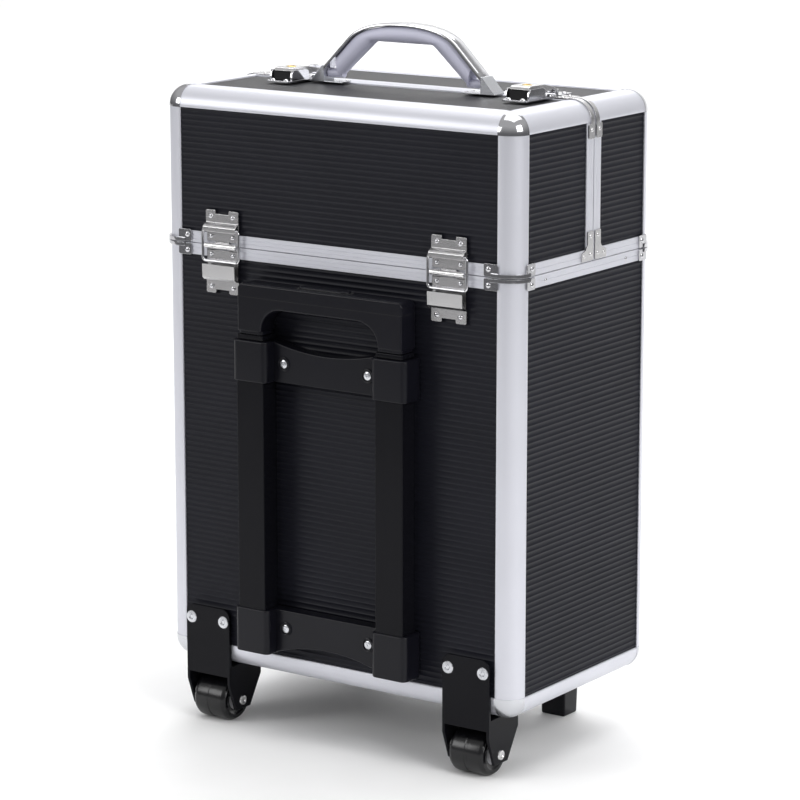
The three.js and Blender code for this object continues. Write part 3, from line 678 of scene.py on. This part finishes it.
def seam_clamp(x_sign, y_sign):
    """The plates that tie a lid half's seam trims to its rim and its top, at one end of the seam."""
    seam = SEAM_Y + y_sign * 1.2
    parts = seam_foot(x_sign, y_sign, seam) + [seam_strap(x_sign, y_sign, seam)]
    tab = rounded_rect((seam, seam + y_sign * 8.5), (BOX_TOP - 29, BOX_TOP - 17.5), 1.2)
    parts.append(extrusion(tab, "x", x_sign * (HALF_W + 0.2), x_sign * (HALF_W + TAB_LIFT)))
    spot = (x_sign * (HALF_W + TAB_LIFT), seam + y_sign * 4.4, BOX_TOP - 22)
    parts.append(dome(spot, "x", x_sign, 1.7, 1))
    tab = rounded_rect((x_sign * (HALF_W - 32), x_sign * (HALF_W - 19)), (seam, seam + y_sign * 8), 1.2)
    parts.append(extrusion(tab, "z", BOX_TOP + 0.2, BOX_TOP + TAB_LIFT))
    parts.append(dome((x_sign * (HALF_W - 26), seam + y_sign * 4, BOX_TOP + TAB_LIFT), "z", 1, 1.7, 1))
    return parts


def make_clamps():
    for face, y_sign in FACES.items():
        upper, lower, seams = [], [], []
        for x_sign in SIGNS:
            upper += corner_clamp(x_sign, y_sign, UPPER_STRAP_Z, UPPER_PLATE_Z)
            lower += corner_clamp(x_sign, y_sign, LOWER_STRAP_Z, LOWER_PLATE_Z)
            seams += seam_clamp(x_sign, y_sign)
        build(f"{face}_lid_corner_clamps", upper, CHROME, f"{face}_lid", bevel=0.2)
        build(f"{face}_body_corner_clamps", lower, CHROME, "case_body", bevel=0.2)
        build(f"{face}_lid_seam_clamps", seams, NICKEL, f"{face}_lid", bevel=0.15)
    heads = []
    for x_sign in SIGNS:
        for y in (-60, 58):
            heads.append(dome((x_sign * HALF_W, y, LID_LINE - 5.2), "x", x_sign, 1.6, 0.8))
    build("body_rim_rivets", heads, CHROME, "case_body")


# ---------------------------------------------------------------- trolley and undercarriage

TUBE_X = 67
COLLAR_HALF = 16.5
BRACKET_Y = -123.5
BAR_FACE = -112
BRACKETS = {"upper": (297, 330, 7, 0), "lower": (74, 110.7, 0, 9)}
SCREW_SPOTS = [(x, z) for x in (-40.5, 40.5) for z in (312.5, 95.6)]
GRIP_HALF = 79
GRIP_LOW = 337
GRIP_TOP = 375.5
GRIP_Y = (-122, -102.8)
GRIP_CORNER_R = 5
OPENING_R = 19
OPENING_HALF = 56.5
WHEEL_RIVET_X = 16.3
WHEEL_RIVET_Y = -103.4
WHEEL_RIVET_Z = 87.5


def screw(x, y, z):
    """A screw with a dimpled head, in a round well with a raised lip, over a dark disc painted as the shade
    on the well's floor: (lip, well floor, head).
    """
    lip = turned([(4.2, 0.2), (4.4, -0.7), (5, -1), (5.6, -0.7), (5.9, 0.2)], (x, y, z), "y", 28)
    floor = turned([(0, 0.2), (4.4, 0.2), (4.4, -0.2), (0, -0.2)], (x, y, z), "y", 24)
    head = turned([(0, 0), (3.3, 0), (3.3, -0.7), (2.4, -1.1), (0.9, -1.1), (0.7, -0.6), (0, -0.6)],
                  (x, y, z), "y", 24)
    return lip, floor, head


def big_rivet(x, y, z):
    """A wide flat flange round a hollow centre."""
    return turned([(0, -0.5), (1.4, -0.5), (2.0, -1.3), (2.5, -1.6), (4.6, -1.3), (5.1, -0.8), (5.1, 0.2),
                   (0, 0.2)], (x, y, z), "y", 32)


def bracket_parts(z0, z1, sag, rise):
    """Two rounded collars joined by a bar whose top edge sags or whose bottom edge arches."""
    back = -(HALF_D + 0.6)
    reach = TUBE_X - 15
    steps = 16
    shares = [i / steps for i in range(steps + 1)]
    low = [(-reach + 2 * reach * t, z0 + 4 * rise * t * (1 - t)) for t in shares]
    high = [(-reach + 2 * reach * t, z1 - 4 * sag * t * (1 - t)) for t in shares[::-1]]
    parts = [extrusion(low + high, "y", BAR_FACE, back)]
    for x_sign in SIGNS:
        centre = x_sign * TUBE_X
        section = rounded_rect((centre - COLLAR_HALF, centre + COLLAR_HALF), (BRACKET_Y, back), 4.5, 6)
        parts.append(extrusion(section, "z", z0, z1))
    return parts


def grip_body():
    """The trolley grip: a thick arch, seen from behind as one bar on two legs."""
    corner = arc((GRIP_HALF - GRIP_CORNER_R, GRIP_TOP - GRIP_CORNER_R), GRIP_CORNER_R, 0, 90, 5)
    opening = arc((OPENING_HALF - OPENING_R, GRIP_LOW + 0.7), OPENING_R, 0, 90, 10)
    right = [(OPENING_HALF, GRIP_LOW), (GRIP_HALF, GRIP_LOW)] + corner
    outline = right + [(-x, z) for x, z in right[::-1] + opening] + opening[::-1]
    return extrusion(outline, "y", *GRIP_Y)


def grip_foot_parts():
    """The stepped collars under the grip's legs."""
    parts = []
    for x_sign in SIGNS:
        section = rounded_rect((x_sign * TUBE_X - 11.5, x_sign * TUBE_X + 11.5), (-121, -105), 2.5)
        parts.append(extrusion(section, "z", GRIP_LOW - 1.9, GRIP_LOW + 1))
    return parts


def make_trolley():
    for level, (z0, z1, sag, rise) in BRACKETS.items():
        name = f"trolley_bracket_{level}"
        moulding = build(f"{name}_moulding", bracket_parts(z0, z1, sag, rise), PLASTIC, "case_body",
                         [name])
        soften(moulding, 1.1, 3, 50, clamp=False)
    grip = build("trolley_grip_moulding", [grip_body()], PLASTIC, "trolley_grip_stage",
                 ["trolley_grip"])
    soften(grip, 1.5, 4, 50, clamp=False)
    build("trolley_grip_feet", grip_foot_parts(), PLASTIC, "trolley_grip_stage", bevel=0.4)
    dress("trolley_grip_button", PLASTIC, bevel=1.2, angle=50, segments=3)
    # A dark rim round the button, painted as the shade in the gap between the button and the grip.
    rim = rounded_rect((-26, 26), (-118.6, -105.4), 6.4, 8)
    build("trolley_grip_button_gap_shade", [extrusion(rim, "z", 374, 375.65)], PAINTED_SHADE, "trolley_grip_stage")
    for side in SIDES:
        dress(f"trolley_outer_tube_{side}", PAINT, bevel=1.0, segments=3)
        dress(f"trolley_middle_tube_{side}", PAINT, bevel=0.8)
        dress(f"trolley_inner_tube_{side}", PAINT, bevel=0.8)
        dress(f"wheel_bracket_{side}", PAINT, bevel=0.5, angle=40)
        dress(f"front_foot_{side}", PLASTIC, bevel=1.4, segments=3)
    lips, wells, heads = zip(*[screw(x, BAR_FACE, z) for x, z in SCREW_SPOTS])
    build("trolley_screw_lips", lips, PLASTIC, "case_body")
    # The dark well floors are painted shade.
    build("trolley_screw_well_shades", wells, PAINTED_SHADE, "case_body")
    build("trolley_screws", heads, SATIN_CAP, "case_body")
    # A thin dark strip round the grip, painted as the shade in its parting line.
    parting = rounded_rect((-GRIP_HALF - 0.05, GRIP_HALF + 0.05), (364.8, 365.2), 0.15, 2)
    line = extrusion(parting, "y", GRIP_Y[0] - 0.05, GRIP_Y[1] + 0.1)
    build("trolley_grip_parting_line_shade", [line], PAINTED_SHADE, "trolley_grip_stage")
    make_wheels()


def tyre_profile(radius, half):
    """The closed section of a tyre: (radius, distance from its middle)."""
    shoulder = [math.radians(a) for a in range(30, 91, 15)]
    flank = [(9, -half + 1.2), (12.5, -half + 0.6), (13.2, -half), (16, -half)]
    flank += [(radius - 4 + 4 * math.sin(a), -half + 4 - 4 * math.cos(a)) for a in shoulder]
    tread = [(radius, -1.5), (radius - 0.5, -1), (radius - 0.5, 1), (radius, 1.5)]
    return flank + tread + [(r, -h) for r, h in flank[::-1]] + flank[:1]


def hub_profile(half):
    flank = [(3.4, -half + 0.4), (5.5, -half + 0.4), (6, -half + 1.4), (9.2, -half + 1.4)]
    return flank + [(r, -h) for r, h in flank[::-1]] + flank[:1]


def axle_end(middle, sign):
    """A washer with a dimple, on the end of a wheel's axle."""
    profile = [(0, 22), (4.2, 22), (3.8, 23), (2.2, 23.3), (1.6, 22.7), (0, 22.6)]
    return turned([(r, sign * h) for r, h in profile], middle, "x", 24)


def make_wheels():
    for side in SIDES:
        low, high = (Vector(corner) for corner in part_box(f"wheel_{side}"))
        middle = ((low.x + high.x) / 2 / MM, ((low.y + high.y) / 2 - CASE_Y) / MM, (low.z + high.z) / 2 / MM)
        radius = (high.z - low.z) / 2 / MM
        half = (high.x - low.x) / 2 / MM
        tyre = turned(tyre_profile(radius, half), middle, "x", 48)
        build(f"wheel_tyre_{side}", [tyre], TYRE, f"wheel_{side}", [f"wheel_{side}"])
        hub = turned(hub_profile(half), middle, "x", 36)
        build(f"wheel_hub_{side}", [hub], HUB, f"wheel_{side}")
        ends = [axle_end(middle, sign) for sign in SIGNS]
        build(f"wheel_axle_ends_{side}", ends, NICKEL, "case_body")
        heads = [big_rivet(middle[0] + sign * WHEEL_RIVET_X, WHEEL_RIVET_Y, WHEEL_RIVET_Z) for sign in SIGNS]
        build(f"wheel_bracket_rivets_{side}", heads, SATIN_CAP, "case_body")


# ---------------------------------------------------------------- carrying handle

HANDLE_X = 2.7
HANDLE_Y = -5.5
HANDLE_TOP = 575.5
LEG_SUM = 613.5
LEG_BEND = 52
LEG_END = 75.2
GRIP_END = 65.5
PIVOT_Z = 531.5
STUB = (60, 74.9)
GRIP_INNER_TOP = 559.6
GRIP_INNER_CORNER = 28
CORNER_SHARE = 0.62


def arch(inset, end, steps=20):
    """Points along the handle's arch, from its right end over the flat top to its left end."""
    leg = LEG_SUM - inset * math.sqrt(2)
    top = HANDLE_TOP - inset
    bend = LEG_BEND - inset / math.sqrt(2)
    half = [(end, leg - end)]
    for i in range(1, 8):
        x = end + (bend - end) * i / 8
        half.append((x, leg - x))
    for i in range(steps + 1):
        rest = (1 - i / steps) ** 2
        across = 2 * (i / steps) * (1 - i / steps)
        half.append((rest * bend + across * (leg - top), rest * (leg - bend) + (1 - rest) * top))
    return half + [(-x, z) for x, z in half[-2::-1]]


def ribbon(outer, inner, sections):
    """A bar between two outlines in the X-Z plane; each section point is (share inward, Y)."""
    points, faces = [], []
    for (x0, z0), (x1, z1) in zip(outer, inner):
        points += [(x0 + (x1 - x0) * share, HANDLE_Y + y, z0 + (z1 - z0) * share) for share, y in sections]
    row = len(sections)
    for i in range(len(outer) - 1):
        for k in range(row):
            a, b = i * row, (i + 1) * row
            faces.append((a + k, a + (k + 1) % row, b + (k + 1) % row, b + k))
    faces.append(tuple(range(row)))
    faces.append(tuple(range(len(points) - row, len(points))))
    return points, faces


def grip_inner_side(outer):
    """The grip's inner side, point for point beside its outer one: flat, then straight down each leg."""
    middle = len(outer) // 2
    inner = []
    for i, (x, _) in enumerate(outer):
        away = abs(i - middle) / middle
        side = math.copysign(1, x) if abs(x) > 1e-6 else 0
        if away < CORNER_SHARE:
            inner.append((side * GRIP_INNER_CORNER * away / CORNER_SHARE, GRIP_INNER_TOP))
        else:
            share = (away - CORNER_SHARE) / (1 - CORNER_SHARE)
            inner.append((side * (GRIP_INNER_CORNER + 33.5 * share), GRIP_INNER_TOP - 30 * share))
    return inner


def grip_parts():
    """The grip insert, rounded toward the hand, and the stub of the hinge rod at each end."""
    outer = arch(2.6, GRIP_END)
    half = [(0.02, -4.4), (0.1, -5.4), (0.3, -6.4), (0.55, -6.9), (0.8, -6.2), (0.94, -4.4), (1, -2)]
    section = half + [(share, -y) for share, y in half[::-1]]
    parts = [ribbon(outer, grip_inner_side(outer), section)]
    for x_sign in SIGNS:
        near, far = (x_sign * x for x in STUB)
        stub = [(0, near), (3.5, near), (3.5, far), (0, far)]
        parts.append(turned(stub, (0, HANDLE_Y, PIVOT_Z), "x", 24))
    return parts


def make_handle():
    section = [(0, -6.2), (0.15, -6.8), (0.4, -7), (1, -7), (1, 7), (0.4, 7), (0.15, 6.8), (0, 6.2), (0, 0)]
    strip = ribbon(arch(0, LEG_END), arch(2.5, LEG_END), section)
    build("carry_handle_chrome", shifted([strip], HANDLE_X), CHROME, "carry_handle",
          ["carry_handle_strip"], angle=50)
    build("carry_handle_insert", shifted(grip_parts(), HANDLE_X), GRIP, "carry_handle",
          ["carry_handle_grip"], angle=50)
    for side, x_sign in SIDES.items():
        make_handle_mount(side, x_sign)


def make_handle_mount(side, x_sign):
    """A wedge that carries the handle's pin, on a small riveted foot plate."""
    name = f"carry_handle_mount_{side}"
    base = BOX_TOP + 0.3
    top = PIVOT_Z + 6.5
    wedge = [(75.5, base), (89, base), (88.6, base + 1), (82.5, PIVOT_Z + 0.3), (77.6, top - 0.4), (77, top),
             (75.5, top)]
    across = (HANDLE_Y - 7.5, HANDLE_Y + 7.5)
    parts = [extrusion([(x_sign * x, z) for x, z in wedge], "y", *across)]
    foot = rounded_rect((x_sign * 58, x_sign * 76), across, 1.5)
    parts.append(extrusion(foot, "z", base, base + 1))
    build(f"{name}_wedge", shifted(parts, HANDLE_X), SATIN_CAP, "rear_lid", [name],
          bevel=0.5, segments=3)
    spots = [dome((x_sign * 61, HANDLE_Y + y, base + 1), "z", 1, 1.5, 0.7) for y in (-4.8, 4.8)]
    build(f"{name}_rivets", shifted(spots, HANDLE_X), CHROME, "rear_lid")


# ---------------------------------------------------------------- latches

LATCH_X = {"left": -100, "right": 126}
FOOT_Z = BOX_TOP + 0.3
LEVER_HALF = 8.7
KEY_Z = BOX_TOP + 11.3


def above_lid(outline):
    """Points given as (Y, height over the lid's top)."""
    return [(y, BOX_TOP + z) for y, z in outline]


def latch_base_parts(x):
    """The lock body: a riveted foot plate, two cheeks and a low wall between them at the front."""
    plate = rounded_rect((x - 11.5, x + 11.5), (-38.5, 7), 2)
    parts = [extrusion(plate, "z", FOOT_Z, BOX_TOP + 1.9)]
    cheek = above_lid([(-34, 1.5), (-34, 7), (-32, 10), (-14, 10), (-11, 8), (-10, 1.5)])
    for x_sign in SIGNS:
        parts.append(extrusion(cheek, "x", x + x_sign * 9.3, x + x_sign * 11.2))
    parts.append(box((x - 9.6, x + 9.6), (-12.4, -11), (BOX_TOP + 1.5, BOX_TOP + 2.9)))
    parts += [dome((x + x_sign * 6.6, 2.2, BOX_TOP + 1.9), "z", 1, 2.3, 1.3) for x_sign in SIGNS]
    parts += [dome((x + x_sign * 6.4, -35.6, BOX_TOP + 1.9), "z", 1, 2.6, 1.6) for x_sign in SIGNS]
    return parts


def latch_lever_parts(x):
    """The lever: a plate folded down at both sides, which slopes down to the catch."""
    top = [(-31.4, 9.2), (-30, 11.2), (-27.5, 12), (-8, 11.6), (4, 9), (10.5, 6.2), (13.3, 5.4)]
    bottom = [(13.3, 4.2), (9.5, 4.4), (3.5, 7.2), (-8, 9.9), (-27, 10.3), (-29.6, 9)]
    parts = [extrusion(above_lid(top + bottom), "x", x - LEVER_HALF, x + LEVER_HALF)]
    skirt = above_lid([(-28.5, 10.6), (-8, 10.6), (3, 8), (3, 6.2), (-8, 5.6), (-26, 5)])
    for x_sign in SIGNS:
        parts.append(extrusion(skirt, "x", x + x_sign * (LEVER_HALF - 1.3), x + x_sign * LEVER_HALF))
    return parts


def key_barrel_parts(x):
    """A round key cylinder with a raised ring, set in the lever's top, and a thin dark bar across its face
    painted as the shade in its key slot.
    """
    ring = [(0, 0), (4.2, 0), (4.2, 0.5), (3.7, 0.9), (3.1, 0.9), (3, 0.5), (0, 0.5)]
    slot = box((x - 0.35, x + 0.35), (-22.2, -17.8), (KEY_Z + 0.4, KEY_Z + 0.65))
    return turned(ring, (x, -20, KEY_Z), "z", 32), slot


def latch_keeper_parts(x):
    """The catch: a riveted foot plate with a hook that the lever closes over."""
    plate = rounded_rect((x - 10, x + 10), (12, 31), 2)
    parts = [extrusion(plate, "z", FOOT_Z, BOX_TOP + 1.6)]
    hook = above_lid([(14.6, 1), (14.6, 5.2), (15.2, 5.6), (17, 5.6), (17, 4.3), (16, 1)])
    parts.append(extrusion(hook, "x", x - 6, x + 6))
    parts += [dome((x + x_sign * 5.6, 25.5, BOX_TOP + 1.6), "z", 1, 2.1, 1.1) for x_sign in SIGNS]
    return parts


def make_latches():
    for side, x in LATCH_X.items():
        build(f"latch_body_{side}", latch_base_parts(x), CHROME, "rear_lid",
              [f"latch_base_{side}"], bevel=0.25)
        build(f"latch_plate_{side}", latch_lever_parts(x), NICKEL, f"latch_lever_{side}",
              [f"latch_lever_{side}"], bevel=0.3)
        # A dark block filling the space under the lever, painted as the shade in the latch's hollow.
        hollow = box((x - 9, x + 9), (-31.6, -13), (BOX_TOP + 2, BOX_TOP + 8.4))
        build(f"latch_hollow_shade_{side}", [hollow], PAINTED_SHADE, "rear_lid")
        ring, slot = key_barrel_parts(x)
        build(f"latch_key_ring_{side}", [ring], BRASS, f"latch_lever_{side}", bevel=0.1)
        # The key slot is a thin dark bar of painted shade.
        build(f"latch_key_slot_shade_{side}", [slot], PAINTED_SHADE, f"latch_lever_{side}")
        build(f"latch_catch_{side}", latch_keeper_parts(x), CHROME, "front_lid",
              [f"latch_keeper_{side}"], bevel=0.25)


# ---------------------------------------------------------------- trays

def make_trays():
    for face in FACES:
        dress(f"{face}_tray", TRAY, bevel=0.5)
        for side in SIDES:
            dress(f"{face}_tray_arm_{side}", NICKEL, bevel=0.3)


# ---------------------------------------------------------------- room

def make_floor():
    """A pale floor that curves up into a backdrop behind the case, in metres."""
    near, back, bend, height = -1.3, 1.6, 1.5, 5
    left, right = -6, 1.4
    steps = 16
    curve = [(near, 0.0)]
    for step in range(steps + 1):
        turn = math.pi / 2 * step / steps
        curve.append((back + bend * math.sin(turn), bend - bend * math.cos(turn)))
    curve.append((back + bend, height))
    points = [(x, y, z) for y, z in curve for x in (left, right)]
    faces = [(2 * i, 2 * i + 1, 2 * i + 3, 2 * i + 2) for i in range(len(curve) - 1)]
    mesh = bpy.data.meshes.new("floor")
    mesh.from_pydata(points, [], faces)
    for face in mesh.polygons:
        face.use_smooth = True
    mesh.materials.append(material("pale_floor", (0.95, 0.95, 0.95), 0.7, grain=30, bump=0.02, spread=0.01))
    floor = bpy.data.objects.new("floor", mesh)
    bpy.context.scene.collection.objects.link(floor)


def make_light(name, location, size, power, target):
    data = bpy.data.lights.new(name, "AREA")
    data.energy = power
    data.size = size
    lamp = bpy.data.objects.new(name, data)
    lamp.location = location
    lamp.rotation_euler = (Vector(target) - Vector(location)).to_track_quat("-Z", "Y").to_euler()
    bpy.context.scene.collection.objects.link(lamp)


def make_lights():
    middle = (0, 0, 0.3)
    behind = (-1.0, 2.0, 0)
    make_light("key", (2.6, -0.6, 1.7), 1.4, 42, middle)
    make_light("fill", (-1.9, -2.4, 1.4), 1.2, 24, middle)
    make_light("top", (0, 0.3, 3.0), 2.5, 45, middle)
    make_light("back", (-1.2, 2.2, 2.6), 2.0, 36, behind)


def make_world():
    """Soft light all round, brightest overhead and dark below the horizon."""
    world = bpy.data.worlds.new("studio")
    world.use_nodes = True
    nodes = world.node_tree.nodes
    links = world.node_tree.links
    coords = nodes.new("ShaderNodeTexCoord")
    split = nodes.new("ShaderNodeSeparateXYZ")
    ramp = nodes.new("ShaderNodeValToRGB")
    links.new(coords.outputs["Generated"], split.inputs["Vector"])
    links.new(split.outputs["Z"], ramp.inputs["Fac"])
    ramp.color_ramp.elements[0].position = 0.0
    ramp.color_ramp.elements[0].color = (0.3, 0.3, 0.31, 1)
    ramp.color_ramp.elements[1].position = 0.6
    ramp.color_ramp.elements[1].color = (1, 1, 1, 1)
    links.new(ramp.outputs["Color"], nodes["Background"].inputs["Color"])
    nodes["Background"].inputs["Strength"].default_value = 0.6
    bpy.context.scene.world = world
    bpy.context.scene.view_settings.view_transform = "Standard"


def make_camera():
    """The photo's point of view, in metres and degrees."""
    azimuth = math.radians(34.81)
    elevation = math.radians(12.11)
    distance = 2.7071
    target = Vector((-0.00689, 0.00695, 0.26796))
    level = math.cos(elevation)
    toward = Vector((math.sin(azimuth) * level, -math.cos(azimuth) * level, math.sin(elevation)))
    data = bpy.data.cameras.new("camera")
    data.lens = 149.68
    data.sensor_width = 36
    camera = bpy.data.objects.new("camera", data)
    camera.location = target + toward * distance
    camera.rotation_euler = (-toward).to_track_quat("-Z", "Y").to_euler()
    bpy.context.scene.collection.objects.link(camera)
    bpy.context.scene.camera = camera


make_body_trim()
for lid_face in FACES:
    make_lid_trim(lid_face)
make_panels()
make_hinges()
make_clamps()
make_trolley()
make_handle()
make_latches()
make_trays()
make_floor()
make_lights()
make_world()
make_camera()
